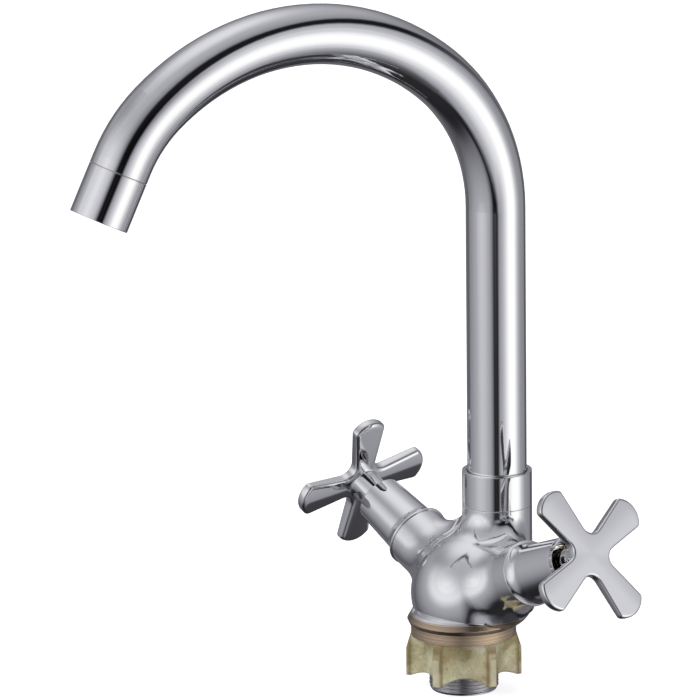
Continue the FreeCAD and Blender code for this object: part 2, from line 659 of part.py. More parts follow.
tip = [vertex.Point for vertex in route.Shape.Vertexes][-1]
full_turn_of_tube = size("shoulder_turn") + size("crown_turn") + size("tip_turn")
tip_frame = spout_frame() * FreeCAD.Placement(tip, FreeCAD.Rotation(Y_AXIS, full_turn_of_tube))

THREAD_BORE = "(Sizes.tube_radius - Sizes.aerator_wall)"
ADAPTER_RADIUS = "(" + THREAD_BORE + " - Sizes.aerator_play)"
ADAPTER_BORE = "(" + ADAPTER_RADIUS + " - Sizes.adapter_wall)"
AERATOR_MOUTH = "(Sizes.tube_radius - Sizes.aerator_rim)"
INSERT_LOW = "(Sizes.adapter_neck + Sizes.aerator_washer_height)"
INSERT_TOP = "(Sizes.aerator_length - Sizes.aerator_lip)"
tip_adapter = turned("tip_adapter", [
    (ADAPTER_BORE, "-Sizes.adapter_plug"),
    (TUBE_BORE + " - Sizes.press_play", "-Sizes.adapter_plug"),
    (TUBE_BORE + " - Sizes.press_play", "0"),
    (ADAPTER_RADIUS, "0"),
    (ADAPTER_RADIUS, "Sizes.adapter_neck"),
    (ADAPTER_BORE, "Sizes.adapter_neck"),
])
aerator_shell = turned("aerator_shell", [
    (THREAD_BORE, "Sizes.aerator_joint"),
    ("Sizes.tube_radius", "Sizes.aerator_joint"),
    ("Sizes.tube_radius", "Sizes.aerator_length"),
    (AERATOR_MOUTH, "Sizes.aerator_length"),
    (AERATOR_MOUTH, INSERT_TOP),
    (THREAD_BORE, INSERT_TOP),
])
aerator_washer = turned("aerator_washer", ring_outline(ADAPTER_BORE, ADAPTER_RADIUS,
                                                       "Sizes.adapter_neck", INSERT_LOW))
aerator_insert = turned("aerator_insert", [
    ("0", INSERT_TOP + " - Sizes.straightener_plate"),
    (ADAPTER_RADIUS + " - Sizes.straightener_wall", INSERT_TOP + " - Sizes.straightener_plate"),
    (ADAPTER_RADIUS + " - Sizes.straightener_wall", INSERT_LOW),
    (ADAPTER_RADIUS, INSERT_LOW),
    (ADAPTER_RADIUS, INSERT_TOP),
    ("0", INSERT_TOP),
])
for ring in range(int(size("jet_rings"))):
    hole_sketch = sketch_on(aerator_insert, "XY_Plane", "jet_%d" % ring, INSERT_TOP)
    circle(hole_sketch, "Sizes.straightener_hole", "%d * Sizes.straightener_pitch" % ring if ring else "0")
    jet = pocket(aerator_insert, hole_sketch, "Sizes.straightener_plate", "jet_hole_%d" % ring)
    if ring:
        polar(aerator_insert, [jet], "%d * Sizes.jet_step" % ring, "jet_ring_%d" % ring)
for body in (tip_adapter, aerator_shell, aerator_washer, aerator_insert):
    body.Placement = tip_frame

# ---------------------------------------------------------------- valves

SEAT = "(Sizes.port_reach - Sizes.port_depth)"
BARREL_LOW = "(" + SEAT + " + Sizes.headwork_foot)"
DISC_LOW = "(" + SEAT + " + Sizes.seat_seal_height)"
DISC_TOP = "(" + DISC_LOW + " + Sizes.disc_height)"
MOVER_LOW = "(" + DISC_TOP + " + Sizes.disc_slide)"
MOVER_TOP = "(" + MOVER_LOW + " + Sizes.disc_height)"
STEM_LOW = "(" + MOVER_TOP + " + Sizes.disc_play)"
STEM_FLANGE_TOP = "(" + STEM_LOW + " + Sizes.stem_flange)"
CHAMBER_TOP = "(" + STEM_FLANGE_TOP + " + Sizes.drive_play)"
THREAD_LOW = "(Sizes.port_reach - Sizes.headwork_thread_length)"
HEX_LOW = "(Sizes.port_reach + Sizes.headwork_flange_height)"
HEX_TOP = "(" + HEX_LOW + " + Sizes.hex_height)"
NECK_END = "(Sizes.port_reach + Sizes.headwork_length)"
DISC_RADIUS = "(Sizes.headwork_chamber - Sizes.disc_play)"
HEX_CORNER = "(Sizes.hex_flats / 2 / cos(30))"
CLIP_TOP = "(" + NECK_END + " + Sizes.clip_height + 2 * Sizes.clip_play)"
HUB_LOW = "(" + CLIP_TOP + " + Sizes.hub_gap)"
PLATE_LOW = "(Sizes.port_reach + Sizes.handle_reach - Sizes.blade_thickness)"
END_BEND_CENTRE = "(Sizes.blade_reach - Sizes.blade_end_bend)"
BLADE_END_START = "(" + END_BEND_CENTRE + " + sqrt(Sizes.blade_end_bend ^ 2 - Sizes.blade_end ^ 2))"
HUB_BORE_TOP = "(" + PLATE_LOW + " - Sizes.hub_roof)"
SPLINE_TOP = "(" + HUB_BORE_TOP + " - Sizes.spline_end_gap)"


def headwork(name):
    """Brass valve housing: barrel with side windows, thread, flange, hexagon and neck."""
    body = turned(name, [
        ("Sizes.headwork_chamber", BARREL_LOW),
        ("Sizes.headwork_barrel", BARREL_LOW),
        ("Sizes.headwork_barrel", THREAD_LOW),
        ("Sizes.port_bore - Sizes.thread_play", THREAD_LOW),
        ("Sizes.port_bore - Sizes.thread_play", "Sizes.port_reach"),
        ("Sizes.headwork_flange_radius", "Sizes.port_reach"),
        ("Sizes.headwork_flange_radius", HEX_LOW),
        ("Sizes.headwork_neck", HEX_LOW),
        ("Sizes.headwork_neck", NECK_END),
        ("Sizes.stem_radius", NECK_END),
        ("Sizes.stem_radius", CHAMBER_TOP),
        ("Sizes.headwork_chamber", CHAMBER_TOP),
    ])
    hex_sketch = sketch_on(body, "XY_Plane", name + "_hexagon", HEX_LOW)
    hexagon(hex_sketch, "Sizes.hex_flats")
    circle(hex_sketch, "Sizes.stem_radius")
    pad(body, hex_sketch, "Sizes.hex_height", name + "_hex")
    window_sketch = sketch_on(body, "XY_Plane", name + "_window", THREAD_LOW + " - Sizes.window_drop")
    outline(window_sketch, ring_outline("-Sizes.port_bore", "Sizes.port_bore",
                                        "-Sizes.window_width / 2", "Sizes.window_width / 2"))
    pocket(body, window_sketch, "Sizes.window_height", name + "_windows")
    return body


def valve_plate(name, low, slotted):
    """A ceramic plate with two windows, and a slot on top if it is the moving one."""
    body = turned(name, [("0", low), (DISC_RADIUS, low), (DISC_RADIUS, low + " + Sizes.disc_height"),
                         ("0", low + " + Sizes.disc_height")])
    for direction in ("", "-"):
        window = sketch_on(body, "XY_Plane", name + "_window", low + " + Sizes.disc_height")
        circle(window, "Sizes.disc_window", direction + "Sizes.disc_window_offset")
        pocket(body, window, "Sizes.disc_height", name + "_hole")
    if slotted:
        slot = sketch_on(body, "XY_Plane", name + "_slot", low + " + Sizes.disc_height")
        outline(slot, ring_outline("-Sizes.drive_slot / 2", "Sizes.drive_slot / 2",
                                   "-Sizes.headwork_chamber", "Sizes.headwork_chamber"))
        pocket(body, slot, "Sizes.drive_depth", name + "_drive")
    return body


def spindle(name):
    """Spindle: driving tongue, flange, stem with its seal's groove, clip's groove and spline."""
    body = turned(name, [
        ("0", STEM_LOW),
        ("Sizes.stem_flange_radius", STEM_LOW),
        ("Sizes.stem_flange_radius", STEM_FLANGE_TOP),
        ("Sizes.stem_radius - Sizes.stem_running", STEM_FLANGE_TOP),
        ("Sizes.stem_radius - Sizes.stem_running", NECK_END),
        ("Sizes.clip_inner", NECK_END),
        ("Sizes.clip_inner", CLIP_TOP),
        ("Sizes.spline_radius", CLIP_TOP),
        ("Sizes.spline_radius", SPLINE_TOP),
        ("0", SPLINE_TOP),
    ])
    seal_place = "(Sizes.port_reach + Sizes.stem_seal_place)"
    grooved(body, name + "_seal_groove", ring_outline(
        "Sizes.stem_radius - Sizes.stem_running - Sizes.stem_seal_wire", "Sizes.stem_radius",
        seal_place + " - Sizes.stem_seal_groove / 2", seal_place + " + Sizes.stem_seal_groove / 2"))
    tongue = sketch_on(body, "XY_Plane", name + "_tongue", STEM_LOW + " - Sizes.drive_depth + Sizes.drive_play")
    half_tongue = "(Sizes.drive_slot / 2 - Sizes.drive_play)"
    outline(tongue, ring_outline("-" + half_tongue, half_tongue, "-Sizes.tongue_reach", "Sizes.tongue_reach"))
    pad(body, tongue, "Sizes.drive_depth - Sizes.drive_play", name + "_tongue_pad")
    tooth = sketch_on(body, "XY_Plane", name + "_tooth", SPLINE_TOP)
    circle(tooth, "Sizes.spline_groove", "Sizes.spline_radius")
    groove_length = SPLINE_TOP + " - " + CLIP_TOP + " - Sizes.spline_runout"
    groove = pocket(body, tooth, groove_length, name + "_spline_groove")
    polar(body, [groove], "Sizes.spline_teeth", name + "_spline")
    return body


def bonnet_sleeve(name):
    """Chromed sleeve that slides over the valve housing, flared at the port."""
    waist = "Sizes.port_reach + Sizes.sleeve_waist_height"
    sleeve_end = "(Sizes.port_reach + Sizes.sleeve_length)"
    hex_room = HEX_CORNER + " + Sizes.hex_room"
    flange_room = "Sizes.headwork_flange_radius + Sizes.hex_room"
    neck_fit = "Sizes.headwork_neck + Sizes.stem_running"
    return turned(name, [
        (flange_room, "Sizes.port_reach"),
        ("Sizes.sleeve_lip_radius", "Sizes.port_reach"),
        ("Sizes.sleeve_lip_radius", "Sizes.port_reach + Sizes.sleeve_lip_height"),
        ("Sizes.sleeve_waist_radius", waist),
        ("Sizes.sleeve_end_radius", sleeve_end),
        ("Sizes.sleeve_hollow", sleeve_end),
        ("Sizes.sleeve_hollow", sleeve_end + " - Sizes.sleeve_hollow_depth"),
        (neck_fit, sleeve_end + " - Sizes.sleeve_hollow_depth"),
        (neck_fit, HEX_TOP + " + Sizes.sleeve_cone"),
        (hex_room, HEX_TOP + " + Sizes.hex_room"),
        (hex_room, HEX_LOW + " + Sizes.sleeve_step"),
        (flange_room, HEX_LOW + " + Sizes.hex_room"),
    ], {2: ("Sizes.sleeve_curl", -1)})


def cross_handle(name):
    """Cross handle: four blades in one plate, a hub with the spindle's bore, and the screw's hole."""
    body = new_body(name)
    blade_sketch = sketch_on(body, "XY_Plane", name + "_blade", PLATE_LOW)
    outline(blade_sketch, [
        ("0", "-Sizes.blade_root"),
        (BLADE_END_START, "-Sizes.blade_end"),
        (BLADE_END_START, "Sizes.blade_end"),
        ("0", "Sizes.blade_root"),
    ], {1: ("Sizes.blade_end_bend", 1)})
    blade = pad(body, blade_sketch, "Sizes.blade_thickness", name + "_blade_pad")
    polar(body, [blade], "Sizes.blade_count", name + "_blades")
    doc.recompute()
    crotches = [number for number, edge in enumerate(body.Shape.Edges, start=1)
                if len(edge.Vertexes) == 2 and edge.CenterOfMass.distanceToPoint(
                    FreeCAD.Vector(0, 0, edge.CenterOfMass.z)) < size("blade_end")
                and abs(edge.Vertexes[0].Z - edge.Vertexes[1].Z) > size("blade_thickness") / 2]
    fillet(body, crotches, "Sizes.blade_crotch", name + "_crotches")
    doc.recompute()
    rims = [number for number, edge in enumerate(body.Shape.Edges, start=1)
            if abs(edge.Vertexes[0].Z - edge.Vertexes[-1].Z) < size("blade_edge") / 2]
    fillet(body, rims, "Sizes.blade_edge", name + "_edges")
    hub_sketch = sketch_on(body, "XY_Plane", name + "_hub", HUB_LOW)
    circle(hub_sketch, "Sizes.hub_radius")
    pad(body, hub_sketch, PLATE_LOW + " - " + HUB_LOW + " + Sizes.blade_edge", name + "_hub_pad")
    bore_sketch = sketch_on(body, "XY_Plane", name + "_bore", HUB_LOW)
    circle(bore_sketch, "Sizes.spline_radius + Sizes.hub_bore_play")
    pocket(body, bore_sketch, HUB_BORE_TOP + " - " + HUB_LOW, name + "_bore_cut", upward=True)
    hole_sketch = sketch_on(body, "YZ_Plane", name + "_screw_hole")
    circle(hole_sketch, "Sizes.screw_radius + Sizes.hub_bore_play", "0", PLATE_LOW + " - Sizes.screw_place")
    pocket(body, hole_sketch, "Sizes.hub_radius", name + "_screw_cut", upward=True)
    return body


def handle_screw(name):
    """Grub screw that holds the cross on the spindle, with its hexagon socket."""
    body = new_body(name)
    height = PLATE_LOW + " - Sizes.screw_place"
    section = sketch_on(body, "YZ_Plane", name + "_section", "Sizes.spline_radius + Sizes.hub_bore_play")
    circle(section, "Sizes.screw_radius", "0", height)
    pad(body, section, "Sizes.hub_radius - Sizes.spline_radius - Sizes.screw_sink", name + "_pad")
    socket_sketch = sketch_on(body, "YZ_Plane", name + "_socket_section",
                              "Sizes.hub_radius + Sizes.hub_bore_play - Sizes.screw_sink")
    hexagon(socket_sketch, "Sizes.socket_flats", height)
    pocket(body, socket_sketch, "Sizes.socket_depth", name + "_socket")
    return body


for side, side_name in SIDES:
    roll = size(side_name + "_turn")
    housing = headwork(side_name + "_headwork")
    sleeve = bonnet_sleeve(side_name + "_bonnet_sleeve")
    seat_seal = turned(side_name + "_seat_seal",
                       ring_outline("Sizes.seat_seal_bore", DISC_RADIUS, SEAT, DISC_LOW))
    fixed_disc = valve_plate(side_name + "_fixed_disc", DISC_LOW, False)
    moving_disc = valve_plate(side_name + "_moving_disc", MOVER_LOW, True)
    stem = spindle(side_name + "_spindle")
    stem_seal = wire_ring(side_name + "_spindle_seal",
                          "Sizes.stem_radius - Sizes.stem_running - Sizes.stem_seal_wire / 2",
                          "Sizes.stem_seal_wire / 2", "Sizes.port_reach + Sizes.stem_seal_place")
    clip = turned(side_name + "_spindle_clip",
                  ring_outline("Sizes.clip_inner", "Sizes.clip_outer", NECK_END + " + Sizes.clip_play",
                               NECK_END + " + Sizes.clip_play + Sizes.clip_height"))
    cross = cross_handle(side_name + "_cross_handle")
    screw = handle_screw(side_name + "_handle_screw")
    for body in (housing, sleeve, seat_seal, fixed_disc):
        body.Placement = valve_frame(side)
    moving_disc.Placement = valve_frame(side, QUARTER_TURN)
    for body in (stem, stem_seal, clip):
        body.Placement = valve_frame(side, QUARTER_TURN)
    for body in (cross, screw):
        body.Placement = valve_frame(side, roll)

# ---------------------------------------------------------------- checks and files

doc.recompute()
for item in doc.Objects:
    if "Invalid" in item.State or "Error" in item.State:
        raise RuntimeError("%s failed: %s" % (item.Label, item.State))
for bore in bores:
    if casting.Shape.common(bore.Shape).Volume > LEFT_IN_BORE:
        raise RuntimeError("%s isn't open" % bore.Label)
for node in NODES:
    if node.Shape.isNull() or not node.Shape.isValid():
        raise RuntimeError("%s has no sound shape" % node.Label)

os.makedirs("parts", exist_ok=True)
for node in NODES:
    node.Shape.exportStep("parts/%s.step" % node.Label)
    print("%-22s %2d solids %9.1f mm3" % (node.Label, len(node.Shape.Solids), node.Shape.Volume))
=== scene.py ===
"""Two handle kitchen faucet: looks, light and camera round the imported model. Metres, +Z up."""
import json
import math
from functools import partial

import bmesh
import bpy
from mathutils import Matrix, Vector


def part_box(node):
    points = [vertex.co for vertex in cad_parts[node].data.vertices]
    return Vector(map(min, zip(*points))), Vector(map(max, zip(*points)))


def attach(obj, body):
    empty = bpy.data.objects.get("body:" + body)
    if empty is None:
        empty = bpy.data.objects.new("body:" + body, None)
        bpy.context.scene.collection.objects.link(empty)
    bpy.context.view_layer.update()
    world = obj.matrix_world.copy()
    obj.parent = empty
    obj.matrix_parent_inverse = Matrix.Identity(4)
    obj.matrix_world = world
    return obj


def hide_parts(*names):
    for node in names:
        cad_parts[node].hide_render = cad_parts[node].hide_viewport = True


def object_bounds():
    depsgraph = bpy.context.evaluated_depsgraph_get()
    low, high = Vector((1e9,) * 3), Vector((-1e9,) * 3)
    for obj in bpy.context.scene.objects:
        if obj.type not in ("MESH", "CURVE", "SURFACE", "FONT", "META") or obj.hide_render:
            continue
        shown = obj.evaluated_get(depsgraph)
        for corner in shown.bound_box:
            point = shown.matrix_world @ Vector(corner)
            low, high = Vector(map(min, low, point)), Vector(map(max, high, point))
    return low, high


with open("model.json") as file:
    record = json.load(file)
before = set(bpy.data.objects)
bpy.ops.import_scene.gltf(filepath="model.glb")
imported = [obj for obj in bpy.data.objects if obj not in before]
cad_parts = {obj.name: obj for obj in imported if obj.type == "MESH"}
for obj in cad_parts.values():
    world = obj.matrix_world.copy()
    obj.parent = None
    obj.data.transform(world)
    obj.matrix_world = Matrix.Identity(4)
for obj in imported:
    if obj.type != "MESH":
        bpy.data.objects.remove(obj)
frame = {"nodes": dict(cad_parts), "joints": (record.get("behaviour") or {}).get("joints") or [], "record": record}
nodes = frame["nodes"]
CAD_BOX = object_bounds()
MM = 0.001
SCENE = bpy.context.scene

# ---------------------------------------------------------------- camera

# The photograph is taken with a long lens from the front right, a little above the faucet.
IMAGE_SIDE = 700            # pixels, square
FOCAL_PIXELS = 8924         # the lens, in pixels of the picture
SENSOR = 36.0               # millimetres
CAMERA_TURN = 52.0          # degrees from straight ahead, towards +X
CAMERA_PITCH = 14.48        # degrees down
CAMERA_ROLL = -0.573        # degrees
AIM_RIGHT = -44.69 * MM     # the aim lies left of the shank's axis
AIM_HEIGHT = 113.4 * MM
DISTANCE = 3.5696
SIGHT_END = 50.0            # how far the camera sees


def camera_axes():
    """The camera's right and up, the way back to it, and its right along the floor."""
    turn, pitch, roll = (math.radians(angle) for angle in (CAMERA_TURN, CAMERA_PITCH, CAMERA_ROLL))
    right = Vector((math.cos(turn), math.sin(turn), 0))
    level_back = Vector((math.sin(turn), -math.cos(turn), 0))
    back = level_back * math.cos(pitch) + Vector((0, 0, math.sin(pitch)))
    up = back.cross(right)
    rolled_right = right * math.cos(roll) + up * math.sin(roll)
    rolled_up = up * math.cos(roll) - right * math.sin(roll)
    return rolled_right, rolled_up, back, right


def add_camera():
    right, up, back, level_right = camera_axes()
    data = bpy.data.cameras.new("camera")
    data.sensor_width = SENSOR
    data.lens = FOCAL_PIXELS / IMAGE_SIDE * SENSOR
    data.clip_end = SIGHT_END
    camera = bpy.data.objects.new("camera", data)
    SCENE.collection.objects.link(camera)
    target = level_right * AIM_RIGHT + Vector((0, 0, AIM_HEIGHT))
    basis = Matrix((right, up, back)).transposed().to_4x4()
    camera.matrix_world = Matrix.Translation(target + back * DISTANCE) @ basis
    SCENE.camera = camera


# ---------------------------------------------------------------- node helpers


def new_material(name):
    material = bpy.data.materials.new(name)
    material.use_nodes = True
    shader = material.node_tree.nodes["Principled BSDF"]
    return material, material.node_tree, shader


def add(tree, kind, **settings):
    node = tree.nodes.new(kind)
    for key, value in settings.items():
        setattr(node, key, value)
    return node


def feed(tree, value, socket):
    """Links a socket, or sets a plain value."""
    if isinstance(value, bpy.types.NodeSocket):
        tree.links.new(value, socket)
    else:
        socket.default_value = value


def maths(tree, operation, *values):
    node = add(tree, "ShaderNodeMath", operation=operation)
    for index, value in enumerate(values):
        feed(tree, value, node.inputs[index])
    return node.outputs[0]


def mix(tree, factor, low, high, blend="MIX"):
    node = add(tree, "ShaderNodeMix", data_type="RGBA", blend_type=blend)
    feed(tree, factor, node.inputs["Factor"])
    feed(tree, low, node.inputs["A"])
    feed(tree, high, node.inputs["B"])
    return node.outputs["Result"]


def between(tree, value, low, high):
    node = add(tree, "ShaderNodeClamp")
    for socket, number in zip(("Value", "Min", "Max"), (value, low, high)):
        feed(tree, number, node.inputs[socket])
    return node.outputs["Result"]


def fraction(tree, value, low, high, interpolation="LINEAR"):
    """How far a value has come from low to high, 0 to 1."""
    node = add(tree, "ShaderNodeMapRange", interpolation_type=interpolation)
    feed(tree, value, node.inputs["Value"])
    node.inputs["From Min"].default_value = low
    node.inputs["From Max"].default_value = high
    return node.outputs["Result"]


def grey(level):
    return (level, level, level, 1)


def ramp(tree, value, stops, smooth=True):
    """A grey or coloured ramp. stops: (position from 0 to 1, grey level or colour)."""
    node = add(tree, "ShaderNodeValToRGB")
    node.color_ramp.interpolation = "EASE" if smooth else "LINEAR"
    elements = node.color_ramp.elements
    while len(elements) < len(stops):
        elements.new(1.0)
    for element, (place, level) in zip(elements, stops):
        element.position = place
        element.color = grey(level) if isinstance(level, float) else (*level, 1)
    feed(tree, value, node.inputs["Fac"])
    return node.outputs["Color"]


def split_place(tree):
    """Object coordinates, taken apart."""
    split = add(tree, "ShaderNodeSeparateXYZ")
    tree.links.new(add(tree, "ShaderNodeTexCoord").outputs["Object"], split.inputs[0])
    return split.outputs["X"], split.outputs["Y"], split.outputs["Z"]


def from_axis(tree):
    """Distance from the shank's axis."""
    x, y = split_place(tree)[:2]
    squares = maths(tree, "ADD", maths(tree, "MULTIPLY", x, x), maths(tree, "MULTIPLY", y, y))
    return maths(tree, "SQRT", squares)


def noise(tree, scale, detail=3.0, vector=None):
    """Cloudy noise in the piece's own coordinates. scale: about how many grains to a metre."""
    node = add(tree, "ShaderNodeTexNoise")
    node.inputs["Scale"].default_value = scale
    node.inputs["Detail"].default_value = detail
    if vector is None:
        vector = add(tree, "ShaderNodeTexCoord").outputs["Object"]
    tree.links.new(vector, node.inputs["Vector"])
    return node.outputs["Fac"]


def lathe_lines(tree, per_metre):
    """Fine rings round the Z axis, as a turning tool leaves them."""
    vector = add(tree, "ShaderNodeCombineXYZ")
    feed(tree, maths(tree, "MULTIPLY", split_place(tree)[2], per_metre), vector.inputs["Z"])
    return noise(tree, 1.0, 2.0, vector.outputs[0])


def bump(tree, shader, height, depth, normal):
    """Relief of a depth in metres, on top of the rounded edges' normal."""
    node = add(tree, "ShaderNodeBump")
    node.inputs["Strength"].default_value = 1.0
    node.inputs["Distance"].default_value = depth
    feed(tree, height, node.inputs["Height"])
    tree.links.new(normal, node.inputs["Normal"])
    tree.links.new(node.outputs["Normal"], shader.inputs["Normal"])


def rounded_edges(tree, radius):
    node = add(tree, "ShaderNodeBevel", samples=BEVEL_SAMPLES)
    node.inputs["Radius"].default_value = radius
    return node.outputs["Normal"]


# ---------------------------------------------------------------- materials

BEVEL_SAMPLES = 6
PLATING_EDGE = 4.1 * MM     # the casting's lip is bare turned brass below this height
CHROME_TINT = (0.935, 0.938, 0.943)
CASTING_ROUGHNESS = 0.10
LIP_ROUGHNESS = 0.24
POLISH_WAVES = 60.0         # to a metre
STRAW = [(0.38, (0.44, 0.37, 0.19)), (0.5, (0.69, 0.64, 0.39)), (0.62, (0.90, 0.87, 0.65))]
LIP_BRASS = [(0.3, (0.30, 0.21, 0.13)), (0.5, (0.62, 0.48, 0.34)), (0.7, (0.92, 0.84, 0.72))]
RING_BRASS = [(0.3, (0.34, 0.23, 0.15)), (0.5, (0.60, 0.45, 0.31)), (0.7, (0.86, 0.72, 0.54))]
YELLOW_BRASS = [(0.3, (0.66, 0.49, 0.20)), (0.7, (0.83, 0.66, 0.32))]
PINK_BRASS = (0.55, 0.37, 0.25, 1)
# painted shade: dark brown laid on the sides of the nut's flutes
PAINTED_FLUTE_SHADE = (0.24, 0.16, 0.06, 1)
# painted highlight: pale brass laid on the tops of the nut's lobes
PAINTED_LOBE_HIGHLIGHT = (0.95, 0.90, 0.66, 1)
NUT_FLUTE = 19.0 * MM       # from the shank's axis to the bottom of a flute of the nut
NUT_LOBE = 23.3 * MM        # and to the top of a lobe


def chrome(name, tint, roughness, edge):
    """Mirror plating: soft rounded edges and the faintest waviness of polished brass under it."""
    material, tree, shader = new_material(name)
    shader.inputs["Metallic"].default_value = 1.0
    shader.inputs["Base Color"].default_value = (*tint, 1)
    shader.inputs["Roughness"].default_value = roughness
    bump(tree, shader, noise(tree, POLISH_WAVES, 1.0), 0.02 * MM, rounded_edges(tree, edge))
    return material


def cast_brass():
    """Raw sand-cast brass: pale straw, grainy, pink in places, with painted shade on the sides of the nut's flutes
    and a painted highlight on its lobes.
    """
    material, tree, shader = new_material("cast_brass")
    grain = noise(tree, 900.0, 4.0)
    tone = ramp(tree, noise(tree, 70.0, 3.0), STRAW)
    patches = ramp(tree, noise(tree, 45.0, 1.0), [(0.5, 0.0), (0.64, 0.6)])
    tone = mix(tree, patches, tone, PINK_BRASS)
    tone = mix(tree, 0.6, tone, ramp(tree, grain, [(0.25, 0.55), (0.5, 1.0)]), "MULTIPLY")
    reach = fraction(tree, from_axis(tree), NUT_FLUTE, NUT_LOBE)
    # painted shade: the flutes' sides, between their bottoms and the lobes, are darkened towards brown
    tone = mix(tree, ramp(tree, reach, [(0.35, 0.0), (0.74, 0.7), (0.86, 0.1)]), tone, PAINTED_FLUTE_SHADE)
    # painted highlight: the tops of the lobes are lightened towards pale brass
    tone = mix(tree, ramp(tree, reach, [(0.92, 0.0), (1.0, 0.5)]), tone, PAINTED_LOBE_HIGHLIGHT)
    tree.links.new(tone, shader.inputs["Base Color"])
    shader.inputs["Metallic"].default_value = 0.35
    feed(tree, ramp(tree, grain, [(0.2, 0.52), (0.8, 0.34)]), shader.inputs["Roughness"])
    bump(tree, shader, grain, 0.25 * MM, rounded_edges(tree, 0.9 * MM))
    return material


def plated_casting():
    """The casting: plating, softer than on the tube, that stops above the turned brass lip."""
    material, tree, shader = new_material("plated_casting")
    bare = maths(tree, "LESS_THAN", split_place(tree)[2], PLATING_EDGE)
    lines = lathe_lines(tree, 2200.0)
    brass = ramp(tree, lines, LIP_BRASS)
    tree.links.new(mix(tree, bare, (*CHROME_TINT, 1), brass), shader.inputs["Base Color"])
    shader.inputs["Metallic"].default_value = 1.0
    feed(tree, maths(tree, "ADD", maths(tree, "MULTIPLY", bare, LIP_ROUGHNESS - CASTING_ROUGHNESS),
                     CASTING_ROUGHNESS), shader.inputs["Roughness"])
    relief = mix(tree, bare, maths(tree, "MULTIPLY", noise(tree, POLISH_WAVES, 1.0), 0.2), lines)
    bump(tree, shader, relief, 0.10 * MM, rounded_edges(tree, 0.5 * MM))
    return material


def turned_brass():
    material, tree, shader = new_material("turned_brass")
    lines = lathe_lines(tree, 2600.0)
    tone = ramp(tree, lines, RING_BRASS)
    tree.links.new(tone, shader.inputs["Base Color"])
    shader.inputs["Metallic"].default_value = 0.85
    shader.inputs["Roughness"].default_value = 0.32
    bump(tree, shader, lines, 0.12 * MM, rounded_edges(tree, 0.4 * MM))
    return material


def machined_brass():
    material, tree, shader = new_material("machined_brass")
    tone = ramp(tree, noise(tree, 200.0, 2.0), YELLOW_BRASS)
    tree.links.new(tone, shader.inputs["Base Color"])
    shader.inputs["Metallic"].default_value = 1.0
    shader.inputs["Roughness"].default_value = 0.25
    bump(tree, shader, noise(tree, 500.0), 0.03 * MM, rounded_edges(tree, 0.3 * MM))
    return material


def plain(name, dark, light, roughness, grain, depth, metallic=0.0):
    """Rubber, plastic, ceramic or steel: grained, between two close tones. depth: millimetres."""
    material, tree, shader = new_material(name)
    pattern = noise(tree, grain, 3.0)
    tree.links.new(ramp(tree, pattern, [(0.3, dark), (0.7, light)]), shader.inputs["Base Color"])
    shader.inputs["Metallic"].default_value = metallic
    shader.inputs["Roughness"].default_value = roughness
    bump(tree, shader, pattern, depth * MM, rounded_edges(tree, 0.2 * MM))
    return material


MATERIALS = {
    "chrome": chrome("chrome", CHROME_TINT, 0.035, 0.5 * MM),
    "handle_chrome": chrome("handle_chrome", CHROME_TINT, 0.055, 0.5 * MM),
    "shank_chrome": chrome("shank_chrome", (0.62, 0.62, 0.64), 0.16, 0.15 * MM),
    "cast_brass": cast_brass(),
    "turned_brass": turned_brass(),
    "machined_brass": machined_brass(),
    "plated_casting": plated_casting(),
    "rubber": plain("rubber", (0.010, 0.010, 0.011), (0.022, 0.022, 0.024), 0.55, 700.0, 0.04),
    "white_plastic": plain("white_plastic", (0.72, 0.72, 0.70), (0.82, 0.82, 0.80), 0.4, 300.0,
                           0.02),
    "ceramic": plain("ceramic", (0.82, 0.80, 0.76), (0.90, 0.89, 0.86), 0.15, 400.0, 0.005),
    "steel": plain("steel", (0.42, 0.42, 0.43), (0.56, 0.56, 0.57), 0.3, 600.0, 0.01, 1.0),
}
for entry in frame["record"]["subparts"]:
    name = entry["node"]
    finish = "plated_casting" if name == "faucet_body" else entry["material_slot"]
    nodes[name].data.materials.clear()
    nodes[name].data.materials.append(MATERIALS[finish])

# ---------------------------------------------------------------- geometry node helpers


def node_tree(name, sizes):
    """A geometry tree with an input for each size: the tree, its input node, the identifiers."""
    tree = bpy.data.node_groups.new(name, "GeometryNodeTree")
    tree.interface.new_socket("Geometry", in_out="OUTPUT", socket_type="NodeSocketGeometry")
    identifiers = {}
    for size_name in sizes:
        socket = tree.interface.new_socket(size_name, in_out="INPUT", socket_type="NodeSocketFloat")
        identifiers[size_name] = socket.identifier
    return tree, add(tree, "NodeGroupInput"), identifiers


def close_tree(tree, geometry, material):
    """Ends a tree: real geometry, smooth, with its material."""
    smooth = add(tree, "GeometryNodeSetShadeSmooth")
    real = add(tree, "GeometryNodeRealizeInstances")
    coat = add(tree, "GeometryNodeSetMaterial")
    coat.inputs["Material"].default_value = material
    tree.links.new(geometry, smooth.inputs["Geometry"])
    tree.links.new(smooth.outputs["Geometry"], real.inputs["Geometry"])
    tree.links.new(real.outputs["Geometry"], coat.inputs["Geometry"])
    tree.links.new(coat.outputs["Geometry"], add(tree, "NodeGroupOutput").inputs["Geometry"])


def grown(name, tree, identifiers, sizes, material):
    """Runs a tree on an empty mesh and gives a plain mesh object of what it makes."""
    seed = bpy.data.objects.new(name + "_seed", bpy.data.meshes.new(name + "_seed"))
    SCENE.collection.objects.link(seed)
    modifier = seed.modifiers.new(name, "NODES")
    modifier.node_group = tree
    for size_name, value in sizes.items():
        modifier[identifiers[size_name]] = value
    evaluated = seed.evaluated_get(bpy.context.evaluated_depsgraph_get())
    mesh = bpy.data.meshes.new_from_object(evaluated)
    mesh.name = name
    mesh.materials.clear()
    mesh.materials.append(material)
    mesh.polygons.foreach_set("material_index", [0] * len(mesh.polygons))
    bpy.data.objects.remove(seed)
    piece = bpy.data.objects.new(name, mesh)
    SCENE.collection.objects.link(piece)
    return piece


